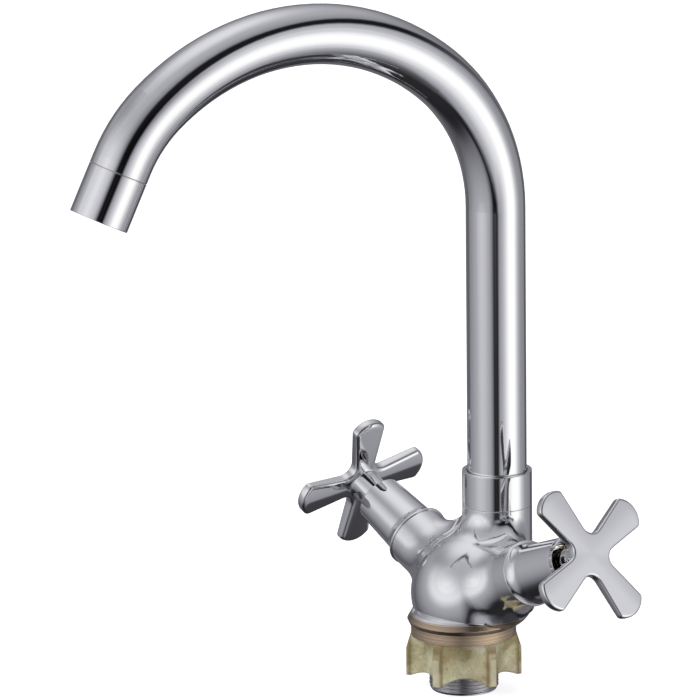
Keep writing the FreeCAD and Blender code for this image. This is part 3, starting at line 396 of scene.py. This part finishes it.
# ---------------------------------------------------------------- threaded shank

SHANK_LOW, SHANK_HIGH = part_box("threaded_shank")
TURN_STEPS = 96
PITCH_STEPS = 8
THREAD_PITCH = 1.5 * MM
CREST_SHARE = 0.15          # shares of half a pitch that the flat crest and the flank take
FLANK_SHARE = 0.7
WELD_DISTANCE = 0.002 * MM
# The lengths and the bore are those of the plain shank that the thread replaces.
THREAD_SIZES = {
    "Crest Radius": SHANK_HIGH.x,
    "Bore Radius": 11.6 * MM,
    "Foot": SHANK_LOW.z,
    "Length": SHANK_HIGH.z - SHANK_LOW.z,
    "Pitch": THREAD_PITCH,
    "Depth": 0.8 * MM,
    "Rows": float(round((SHANK_HIGH.z - SHANK_LOW.z) / THREAD_PITCH * PITCH_STEPS)),
}


def thread_tree(material):
    """M28 x 1.5: a grid rolled into the shank's outside, ends and bore, with the thread cut in."""
    tree, sizes, identifiers = node_tree("shank_thread", THREAD_SIZES)
    calc = partial(maths, tree)
    crest, bore, foot, length, pitch, depth, rows = (sizes.outputs[name] for name in THREAD_SIZES)
    last = calc("ADD", rows, 3.0)
    grid = add(tree, "GeometryNodeMeshGrid")
    grid.inputs["Vertices X"].default_value = TURN_STEPS + 1
    feed(tree, calc("ADD", last, 1.0), grid.inputs["Vertices Y"])
    place = add(tree, "ShaderNodeSeparateXYZ")
    tree.links.new(add(tree, "GeometryNodeInputPosition").outputs[0], place.inputs[0])
    turn = calc("ADD", place.outputs["X"], 0.5)
    station = calc("ROUND", calc("MULTIPLY", calc("ADD", place.outputs["Y"], 0.5), last))
    returned = calc("GREATER_THAN", station, calc("ADD", rows, 1.5))
    row = calc("MULTIPLY", calc("MINIMUM", station, rows), calc("SUBTRACT", 1.0, returned))
    inside = calc("MULTIPLY", calc("GREATER_THAN", station, calc("ADD", rows, 0.5)),
                  calc("LESS_THAN", station, calc("SUBTRACT", last, 0.5)))
    height = calc("ADD", foot, calc("MULTIPLY", length, calc("DIVIDE", row, rows)))
    phase = calc("FRACT", calc("SUBTRACT", calc("DIVIDE", height, pitch), turn))
    wave = calc("MULTIPLY", calc("ABSOLUTE", calc("SUBTRACT", phase, 0.5)), 2.0)
    down_flank = calc("DIVIDE", calc("SUBTRACT", wave, CREST_SHARE), FLANK_SHARE)
    flank = between(tree, down_flank, 0.0, 1.0)
    nearest_end = calc("MINIMUM", row, calc("SUBTRACT", rows, row))
    run_out = calc("SUBTRACT", 1.0, calc("DIVIDE", nearest_end, float(PITCH_STEPS)))
    end_cut = between(tree, run_out, 0.0, 1.0)
    dip = calc("MULTIPLY", depth, calc("MAXIMUM", flank, end_cut))
    outside = calc("SUBTRACT", crest, dip)
    radius = calc("ADD", calc("MULTIPLY", inside, bore),
                  calc("MULTIPLY", calc("SUBTRACT", 1.0, inside), outside))
    angle = calc("MULTIPLY", turn, math.tau)
    rolled = add(tree, "ShaderNodeCombineXYZ")
    feed(tree, calc("MULTIPLY", radius, calc("COSINE", angle)), rolled.inputs["X"])
    feed(tree, calc("MULTIPLY", radius, calc("SINE", angle)), rolled.inputs["Y"])
    feed(tree, height, rolled.inputs["Z"])
    shift = add(tree, "GeometryNodeSetPosition")
    tree.links.new(grid.outputs["Mesh"], shift.inputs["Geometry"])
    tree.links.new(rolled.outputs[0], shift.inputs["Position"])
    closed = add(tree, "GeometryNodeMergeByDistance")
    closed.inputs["Distance"].default_value = WELD_DISTANCE
    tree.links.new(shift.outputs["Geometry"], closed.inputs["Geometry"])
    close_tree(tree, closed.outputs["Geometry"], material)
    return tree, identifiers


def threaded_shank():
    material = MATERIALS["shank_chrome"]
    piece = grown("shank_thread", *thread_tree(material), THREAD_SIZES, material)
    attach(piece, "base")
    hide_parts("threaded_shank")


threaded_shank()

# ---------------------------------------------------------------- cross handles

# Sizes in millimetres. Heights run along the valve's axis.
BLADES = 4
BLADE_ROOT = 3.5            # half width of a blade at the axis
BLADE_END = 7.25            # and where its sides meet the rounded end
BLADE_REACH = 30.5
END_BEND = 9.4              # radius of the rounded end
CROTCH = 4.5                # radius between two blades
CORNER_SOFTNESS = 0.7       # how far the buffing wheel rounds the corners of the outline
FRONT_EDGE = 1.0            # rounded edge of the blades, crisp in front and buffed rounder behind
BACK_EDGE = 1.6
PLATE_TOP = 81.8            # from where the two valves' axes cross
PLATE_FOOT = 76.8
CROWN_ACROSS = 0.30         # the faces are a little crowned
CROWN_ALONG = 0.35
HUB = 6.5                   # radius
HUB_FOOT = 59.0
HUB_EDGE = 0.6
HUB_BORE = 4.45             # radius, over the spindle
HUB_BORE_TOP = 74.3
HUB_FILLET = 0.5
SCREW_HOLE = 2.05           # radius of the grub screw's hole
SCREW_PLACE = 70.8
DRILL_START = 1.0           # the drill starts this far inside the bore
OUTLINE_STEP = 0.4
FACE_RINGS = 14
EDGE_STEPS = 7
FILLET_STEPS = 5
HUB_EDGE_STEPS = 4
DRILL_SIDES = 48
SHARP_ANGLE = 40            # degrees
NEVER_ZERO = 1e-6
HANDLE_TURNS = {"left": -98.0, "right": 29.0}   # degrees round the valve's axis, as photographed


def arc(centre, radius, first, last):
    """Points of an arc, its ends left out."""
    count = max(2, round(abs(last - first) * radius / OUTLINE_STEP))
    return [Vector((centre[0] + radius * math.cos(first + (last - first) * step / count),
                    centre[1] + radius * math.sin(first + (last - first) * step / count)))
            for step in range(1, count)]


def line(start, end):
    count = max(2, round((end - start).length / OUTLINE_STEP))
    return [start.lerp(end, step / count) for step in range(count)]


def blade_outline():
    """Both sides and the rounded end of the blade along X, and the crotch to the next one."""
    end_centre = BLADE_REACH - END_BEND
    corner = Vector((end_centre + math.sqrt(END_BEND ** 2 - BLADE_END ** 2), BLADE_END))
    slope = math.atan2(BLADE_END - BLADE_ROOT, corner.x)
    meeting = BLADE_ROOT / (1 - math.tan(slope))
    half_angle = math.pi / 4 - slope
    run = CROTCH / math.tan(half_angle)
    tangent = Vector((meeting + run * math.cos(slope), meeting + run * math.sin(slope)))
    centre = meeting + CROTCH / math.sin(half_angle) / math.sqrt(2)
    spread = math.atan2(corner.y, corner.x - end_centre)
    mirrored = Vector((tangent.x, -tangent.y))
    points = line(mirrored, Vector((corner.x, -corner.y)))
    points += [Vector((corner.x, -corner.y))] + arc((end_centre, 0), END_BEND, -spread, spread)
    points += line(corner, tangent) + [tangent]
    start = math.atan2(tangent.y - centre, tangent.x - centre)
    finish = math.atan2(tangent.x - centre, tangent.y - centre) - math.tau
    if finish <= start - math.pi:
        finish += math.tau
    return points + arc((centre, centre), CROTCH, start, finish)


def cross_outline():
    """The whole outline, its corners softened, and the way outwards at each point."""
    points = []
    for blade in range(BLADES):
        turn = Matrix.Rotation(math.tau * blade / BLADES, 2)
        points += [turn @ point for point in blade_outline()]
    count = len(points)
    reach = math.ceil(3 * CORNER_SOFTNESS / OUTLINE_STEP)
    steps = range(-reach, reach + 1)
    weights = [math.exp(-0.5 * (step * OUTLINE_STEP / CORNER_SOFTNESS) ** 2) for step in steps]
    soft = []
    for index in range(count):
        total = Vector((0, 0))
        for weight, step in zip(weights, steps):
            total += points[(index + step) % count] * weight
        soft.append(total / sum(weights))
    outwards = []
    for index in range(count):
        along_it = soft[(index + 1) % count] - soft[index - 1]
        outwards.append(Vector((along_it.y, -along_it.x)).normalized())
    return soft, outwards


def crown(point):
    """How far a face has fallen from its middle."""
    squared = point.length_squared
    across = (point.x * point.y) ** 2 / (squared + NEVER_ZERO) / BLADE_END ** 2
    return CROWN_ACROSS * across + CROWN_ALONG * squared / BLADE_REACH ** 2


def edge_ring(middles, outwards, edge, face, inwards, step):
    """One ring of points on a rounded edge. inwards: -1 at the front face, 1 at the back one."""
    angle = math.pi / 2 * step / EDGE_STEPS
    ring = []
    for middle, way in zip(middles, outwards):
        place = middle + way * edge * math.sin(angle)
        ring.append((*place, face + inwards * (crown(middle) + edge * (1 - math.cos(angle)))))
    return ring


def quarter(steps):
    """Angles over a quarter turn, both ends counted."""
    return [math.pi / 2 * step / steps for step in range(steps + 1)]


def cross_rings():
    """Rings of points from the front face's middle, over the edges, to the hub's bore."""
    soft, outwards = cross_outline()
    front, back = ([point - way * edge for point, way in zip(soft, outwards)]
                   for edge in (FRONT_EDGE, BACK_EDGE))
    rings = []
    for ring in range(1, FACE_RINGS + 1):
        share = ring / FACE_RINGS
        rings.append([(*(point * share), PLATE_TOP - crown(point * share)) for point in front])
    for step in range(1, EDGE_STEPS + 1):
        rings.append(edge_ring(front, outwards, FRONT_EDGE, PLATE_TOP, -1, step))
    for step in range(EDGE_STEPS, 0, -1):
        rings.append(edge_ring(back, outwards, BACK_EDGE, PLATE_FOOT, 1, step))
    ways = [point.normalized() for point in back]
    for ring in range(FACE_RINGS, 0, -1):
        share = ring / FACE_RINGS
        flat = [point * share + way * (HUB + HUB_FILLET) * (1 - share)
                for point, way in zip(back, ways)]
        rings.append([(*point, PLATE_FOOT + crown(point)) for point in flat])
    low = PLATE_FOOT + crown(Vector((HUB, 0)))
    profile = [(HUB + HUB_FILLET * (1 - math.sin(angle)), low - HUB_FILLET * (1 - math.cos(angle)))
               for angle in quarter(FILLET_STEPS)]
    profile += [(HUB - HUB_EDGE * (1 - math.cos(angle)),
                 HUB_FOOT + HUB_EDGE * (1 - math.sin(angle))) for angle in quarter(HUB_EDGE_STEPS)]
    profile += [(HUB_BORE, HUB_FOOT), (HUB_BORE, HUB_BORE_TOP)]
    for radius, height in profile:
        rings.append([(way.x * radius, way.y * radius, height) for way in ways])
    return rings


def valve_place(side):
    """From the valve's own frame, Z outwards along its axis, to the faucet's, in metres."""
    joint = next(entry for entry in frame["joints"] if entry["name"] == side + "_valve_turn")
    axis = Vector(joint["axis"])
    tilt = Matrix.Rotation(math.atan2(axis.x, axis.z), 4, "Y")
    turn = Matrix.Rotation(math.radians(HANDLE_TURNS[side]), 4, "Z")
    return Matrix.Translation(Vector(joint["pos_m"])) @ tilt @ turn @ Matrix.Scale(MM, 4)


def drill(piece, place):
    """Cuts the grub screw's hole in the hub."""
    hole = bmesh.new()
    middle = Matrix.Translation((HUB_BORE - DRILL_START + HUB / 2, 0, SCREW_PLACE))
    bmesh.ops.create_cone(hole, cap_ends=True, segments=DRILL_SIDES, radius1=SCREW_HOLE,
                          radius2=SCREW_HOLE, depth=HUB,
                          matrix=middle @ Matrix.Rotation(math.pi / 2, 4, "Y"))
    hole.transform(place)
    mesh = bpy.data.meshes.new("screw_drill")
    hole.to_mesh(mesh)
    hole.free()
    cutter = bpy.data.objects.new("screw_drill", mesh)
    SCENE.collection.objects.link(cutter)
    modifier = piece.modifiers.new("screw_hole", "BOOLEAN")
    modifier.operation, modifier.solver, modifier.object = "DIFFERENCE", "EXACT", cutter
    evaluated = piece.evaluated_get(bpy.context.evaluated_depsgraph_get())
    cut = bpy.data.meshes.new_from_object(evaluated)
    piece.modifiers.remove(modifier)
    piece.data = cut
    bpy.data.objects.remove(cutter)


def cross_handle(side):
    """The cast cross: four flared blades with buffed edges and crowned faces, and its hub."""
    shape = bmesh.new()
    rings = [[shape.verts.new(point) for point in ring] for ring in cross_rings()]
    count = len(rings[0])
    for first, second in zip(rings, rings[1:]):
        for index in range(count):
            after = (index + 1) % count
            shape.faces.new((first[index], second[index], second[after], first[after]))
    for ring, height in ((rings[0], PLATE_TOP), (rings[-1], HUB_BORE_TOP)):
        middle = shape.verts.new((0, 0, height))
        for index in range(count):
            shape.faces.new((middle, ring[index], ring[(index + 1) % count]))
    place = valve_place(side)
    shape.transform(place)
    bmesh.ops.recalc_face_normals(shape, faces=shape.faces)
    mesh = bpy.data.meshes.new(side + "_cast_cross")
    shape.to_mesh(mesh)
    shape.free()
    mesh.materials.append(MATERIALS["handle_chrome"])
    piece = bpy.data.objects.new(side + "_cast_cross", mesh)
    SCENE.collection.objects.link(piece)
    drill(piece, place)
    piece.data.shade_smooth()
    piece.data.set_sharp_from_angle(angle=math.radians(SHARP_ANGLE))
    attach(piece, side + "_valve")
    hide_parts(side + "_cross_handle")


for side in ("left", "right"):
    cross_handle(side)

# ---------------------------------------------------------------- floor and light

FLOOR_SIDE = 40.0
FLOOR_GAP = 0.2 * MM        # under the shank's end
FLOOR_COLOUR = (0.8, 0.8, 0.8, 1)
FLOOR_ROUGHNESS = 0.9
FLOOR_GLOW = 0.72           # lifts the floor to white where it has no shadow


def seen_directly(tree):
    """1 for camera and transmission rays, 0 for what mirrors show and for lighting."""
    rays = add(tree, "ShaderNodeLightPath").outputs
    return maths(tree, "MAXIMUM", rays["Is Camera Ray"], rays["Is Transmission Ray"])


def add_floor():
    mesh = bpy.data.meshes.new("floor")
    half = FLOOR_SIDE / 2
    low = CAD_BOX[0].z - FLOOR_GAP
    corners = [(-half, -half, low), (half, -half, low), (half, half, low), (-half, half, low)]
    mesh.from_pydata(corners, [], [(0, 1, 2, 3)])
    floor = bpy.data.objects.new("floor", mesh)
    SCENE.collection.objects.link(floor)
    material, tree, shader = new_material("floor")
    shader.inputs["Base Color"].default_value = FLOOR_COLOUR
    shader.inputs["Roughness"].default_value = FLOOR_ROUGHNESS
    shader.inputs["Specular IOR Level"].default_value = 0.0
    feed(tree, grey(1.0), shader.inputs["Emission Color"])
    strength = maths(tree, "MULTIPLY", seen_directly(tree), FLOOR_GLOW)
    feed(tree, strength, shader.inputs["Emission Strength"])
    mesh.materials.append(material)
    floor.visible_glossy = False


# The studio that the plating mirrors, as directions seen from the faucet: degrees to the right
# of the camera and degrees above the horizon. Levels are of light. Stops: degrees from the
# middle, and the level. An edge runs from its first angle to its second.
DOME = (-124.8, 48.5)   # middle of a grey dome, brightest in a ring round it
DOME_STOPS = [(0, 0.105), (35, 0.456), (60, 0.403), (85, 0.179), (180, 0.179)]
HORIZON_EDGE = (-46.5, 20.2)   # the dome fades into the dark room below it
ROOM_LEVEL = 0.0
LEFT_BOX = (-56.5, 29.4)   # soft box on the left, with a glow in its middle
LEFT_BOX_STOPS = [(0, 1.158), (8, 1.158), (15, 0.968), (20, 0.967), (25, 0.812), (35, 0.785),
                  (50, 0.401), (90, 0.108)]
LEFT_BOX_SIDES = ((-162.3, -153.1), (-29.4, -3.7))
LEFT_BOX_ENDS = ((-68.3, -46.6), (-2.0, 49.8))
KEY_BOX = (64.0, -7.9)   # the other soft box, on the right
KEY_BOX_STOPS = [(0, 1.158), (10, 1.053), (15, 0.957), (20, 0.827), (25, 0.659), (30, 0.658),
                 (35, 0.512), (45, 0.422), (60, 0.229)]
KEY_RIM = (72.2, -22.6)   # its black rim, not quite round the glow
RIM_INSIDE = (57.0, 64.4)
RIM_OUTSIDE = (71.4, 78.3)
RIM_LEVEL = 0.011
FLAG = (45.7, -4.0)   # black screen beside the rim
FLAG_EDGE = (51.6, 61.4)
BACKDROP_RIGHT = (131.8, 148.1)   # the dark back of the studio, on the right and on the left
BACKDROP_LEFT = (137.4, 151.9)
BACKDROP_ENDS = ((-61.6, -51.5), (-3.0, 45.7))
BACKDROP_LEVEL = 0.152
TABLE_EDGE = (-85.3, -27.4)   # dark table below
TABLE_LEVEL = 0.022
# White, grey and black cards: direction, radii of the core and of the soft edge, level, strength.
CARDS = [
    ((124.4, -58.4), 18.9, 19.9, 0.04, 0.96),
    ((-144.6, 66.2), 5.3, 39.5, 1.158, 0.5),
    ((116.4, -8.6), 3.7, 44.0, 0.26, 0.84),
    ((16.4, 0.6), 16.7, 36.5, 0.0, 0.57),
    ((20.8, -36.2), 13.9, 27.4, 0.648, 0.38),
    ((25.0, -10.7), 2.2, 14.2, 0.017, 0.94),
    ((-2.5, -2.3), 1.6, 15.1, 0.247, 1),
    ((38.1, -13.5), 6.6, 34.5, 1.158, 0.43),
]
WHITE = 1.0                 # behind the faucet
COOLNESS = 0.14


def direction(turn, height):
    """A direction given from the camera's side."""
    turn, height = math.radians(turn + CAMERA_TURN), math.radians(height)
    level = math.cos(height)
    return Vector((math.sin(turn) * level, -math.cos(turn) * level, math.sin(height)))


def along(tree, sight, way):
    node = add(tree, "ShaderNodeVectorMath", operation="DOT_PRODUCT")
    tree.links.new(sight, node.inputs[0])
    node.inputs[1].default_value = way
    return node.outputs["Value"]


def angle_to(tree, sight, centre):
    bounded = between(tree, along(tree, sight, direction(*centre)), -1.0, 1.0)
    return maths(tree, "DEGREES", maths(tree, "ARCCOSINE", bounded))


def glow(tree, sight, centre, stops):
    """Light that changes with the angle from a centre."""
    place = maths(tree, "DIVIDE", angle_to(tree, sight, centre), 180.0)
    return ramp(tree, place, [(angle / 180, float(level)) for angle, level in stops], False)


def above(tree, value, edge):
    """0 below a soft edge and 1 above it."""
    return fraction(tree, value, *edge, "SMOOTHSTEP")


def below(tree, value, edge):
    return maths(tree, "SUBTRACT", 1.0, above(tree, value, edge))


def window(tree, value, edges):
    """1 between two soft edges."""
    return maths(tree, "MULTIPLY", above(tree, value, edges[0]), below(tree, value, edges[1]))


def studio_light(tree, sight):
    """The dome first, then each panel laid over what is behind it."""
    right, to_camera, up = (along(tree, sight, direction(*way))
                            for way in ((90, 0), (0, 0), (0, 90)))
    turn = maths(tree, "DEGREES", maths(tree, "ARCTAN2", right, to_camera))
    height = maths(tree, "DEGREES", maths(tree, "ARCSINE", up))
    dome = glow(tree, sight, DOME, DOME_STOPS)
    light = mix(tree, above(tree, height, HORIZON_EDGE), grey(ROOM_LEVEL), dome)
    left_box = maths(tree, "MULTIPLY", window(tree, turn, LEFT_BOX_SIDES),
                     window(tree, height, LEFT_BOX_ENDS))
    light = mix(tree, left_box, light, glow(tree, sight, LEFT_BOX, LEFT_BOX_STOPS))
    behind = maths(tree, "MAXIMUM", above(tree, turn, BACKDROP_RIGHT),
                   above(tree, maths(tree, "MULTIPLY", turn, -1.0), BACKDROP_LEFT))
    backdrop = maths(tree, "MULTIPLY", behind, window(tree, height, BACKDROP_ENDS))
    light = mix(tree, backdrop, light, grey(BACKDROP_LEVEL))
    rim_angle = angle_to(tree, sight, KEY_RIM)
    light = mix(tree, below(tree, rim_angle, RIM_OUTSIDE), light, grey(RIM_LEVEL))
    light = mix(tree, below(tree, angle_to(tree, sight, FLAG), FLAG_EDGE), light, grey(RIM_LEVEL))
    key_box = glow(tree, sight, KEY_BOX, KEY_BOX_STOPS)
    light = mix(tree, below(tree, rim_angle, RIM_INSIDE), light, key_box)
    light = mix(tree, below(tree, height, TABLE_EDGE), light, grey(TABLE_LEVEL))
    for centre, core, outer, level, strength in CARDS:
        cover = below(tree, angle_to(tree, sight, centre), (core, outer))
        light = mix(tree, maths(tree, "MULTIPLY", cover, strength), light, grey(level))
    return light


def cool(tree, light):
    """Mid greys a little blue, as cool lamps leave them. White stays white."""
    gain = maths(tree, "SUBTRACT", 1 + COOLNESS, maths(tree, "MULTIPLY", light, COOLNESS))
    blue = maths(tree, "MULTIPLY", light, gain)
    node = add(tree, "ShaderNodeCombineColor")
    feed(tree, light, node.inputs["Red"])
    feed(tree, light, node.inputs["Green"])
    feed(tree, blue, node.inputs["Blue"])
    return node.outputs["Color"]


def add_studio():
    world = bpy.data.worlds.new("studio")
    world.use_nodes = True
    SCENE.world = world
    tree = world.node_tree
    sight = add(tree, "ShaderNodeTexCoord").outputs["Generated"]
    light = mix(tree, seen_directly(tree), cool(tree, studio_light(tree, sight)), grey(WHITE))
    tree.links.new(light, tree.nodes["Background"].inputs["Color"])


# Soft lamps for the raw brass, rubber and floor: direction, distance, side, power. Mirrors don't
# show them.
LAMPS = [
    ((-48.0, 38.0), 2.0, 1.2, 14.0),
    ((62.0, 24.0), 2.0, 1.0, 7.0),
    ((170.0, 55.0), 2.0, 1.2, 5.0),
]


def add_lamps():
    for place, distance, side, power in LAMPS:
        data = bpy.data.lights.new("soft_lamp", "AREA")
        data.shape = "SQUARE"
        data.size = side
        data.energy = power
        lamp = bpy.data.objects.new("soft_lamp", data)
        way = direction(*place)
        aim = way.to_track_quat("Z", "Y").to_matrix().to_4x4()
        lamp.matrix_world = Matrix.Translation(way * distance) @ aim
        lamp.visible_glossy = False
        SCENE.collection.objects.link(lamp)


def set_colour():
    SCENE.view_settings.view_transform = "Standard"


add_camera()
add_floor()
add_studio()
add_lamps()
set_colour()
